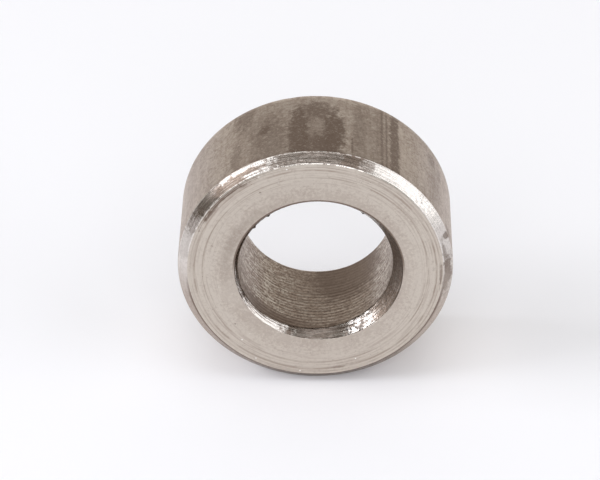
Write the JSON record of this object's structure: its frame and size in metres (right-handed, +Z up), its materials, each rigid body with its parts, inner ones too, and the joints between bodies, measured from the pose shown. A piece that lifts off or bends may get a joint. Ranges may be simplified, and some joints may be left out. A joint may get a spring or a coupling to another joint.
{
  "type": "shaft collar",
  "caption": "Plain one-piece turned steel shaft collar: a chamfered ring with a through bore and flat faces, used as a stop, spacer or thrust face on a shaft.",
  "frame": {"origin": "on the bore's axis, halfway along the collar's width", "axes": "+Y along the bore's axis from the front face to the rear face, +Z up, +X to the right as seen from the front; the ring stands on its rim"},
  "size_m": [0.032, 0.014, 0.032],
  "materials": {
    "turned_steel": "bare turned steel with faint concentric tool lines, stained and lightly worn, satin"
  },
  "bodies": {
    "root": {"collar_ring": "turned_steel"}
  },
  "joints": []
}
